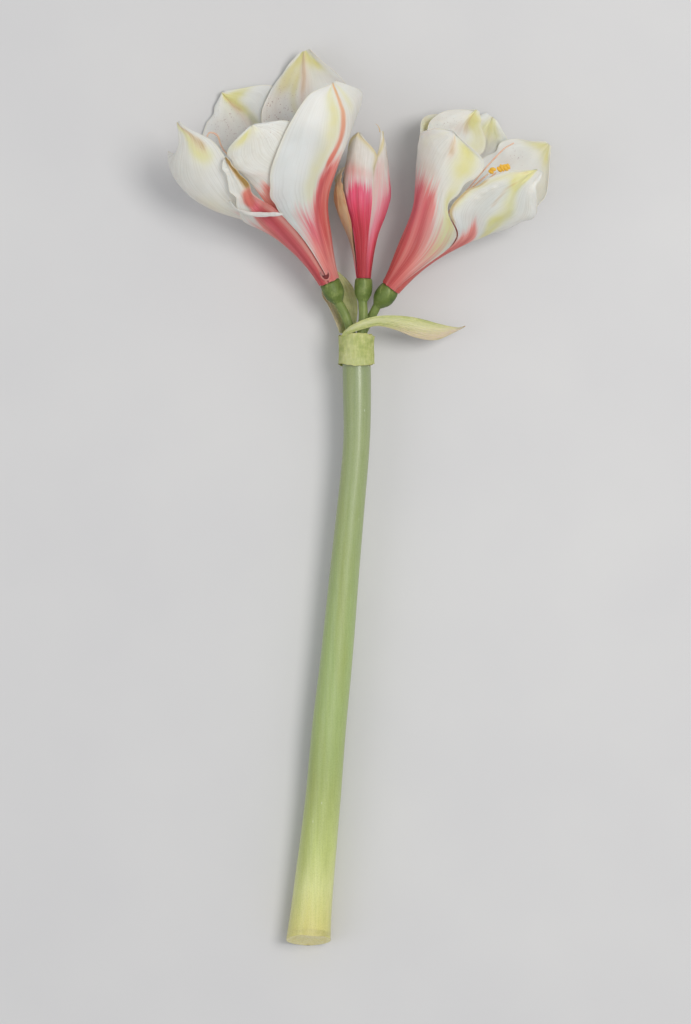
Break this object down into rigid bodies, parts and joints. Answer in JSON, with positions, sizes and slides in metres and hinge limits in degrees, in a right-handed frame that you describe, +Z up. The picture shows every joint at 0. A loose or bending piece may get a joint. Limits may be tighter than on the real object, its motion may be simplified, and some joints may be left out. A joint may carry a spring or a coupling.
{
  "type": "amaryllis stem",
  "caption": "Cut amaryllis stem lying down, with a pale green scape, papery spathe, open red-and-cream blooms and a closed bud.",
  "frame": {"origin": "middle of the stem's bounding box, on the surface that it lies on", "axes": "+Y from the cut end to the blooms, +X to the right seen from above, +Z up from the surface"},
  "size_m": [0.2502, 0.5865, 0.0868],
  "materials": {
    "scape_skin": "satin green skin, paler and yellower towards the cut end",
    "spathe_skin": "thin yellow-green sheath with fine fibres, drying at its tips",
    "stalk_skin": "satin green",
    "petal_skin": "soft satin, cream with red veins and a coloured midrib",
    "bud_skin": "soft satin, cream with crimson streaks",
    "filament_skin": "smooth salmon",
    "pollen": "powdery orange-yellow"
  },
  "bodies": {
    "root": {"bud_petal_front": "bud_skin", "bud_petal_inner_front": "bud_skin", "bud_petal_inner_left": "bud_skin", "bud_petal_left": "bud_skin", "bud_petal_right": "bud_skin", "bud_stalk": "stalk_skin", "left_bloom_petal_back": "petal_skin", "left_bloom_petal_channel": "petal_skin", "left_bloom_petal_front": "petal_skin", "left_bloom_petal_left": "petal_skin", "left_bloom_petal_right": "petal_skin", "left_bloom_petal_top": "petal_skin", "left_bloom_stalk": "stalk_skin", "left_bloom_style": "filament_skin", "right_bloom_anther_far": "pollen", "right_bloom_anther_near": "pollen", "right_bloom_filament_far": "filament_skin", "right_bloom_filament_near": "filament_skin", "right_bloom_petal_back": "petal_skin", "right_bloom_petal_far": "petal_skin", "right_bloom_petal_front": "petal_skin", "right_bloom_petal_inner": "petal_skin", "right_bloom_petal_left": "petal_skin", "right_bloom_petal_right": "petal_skin", "right_bloom_stalk": "stalk_skin", "right_bloom_style": "filament_skin", "scape": "scape_skin", "spathe_collar": "spathe_skin", "spathe_valve_left": "spathe_skin", "spathe_valve_right": "spathe_skin"}
  },
  "joints": []
}
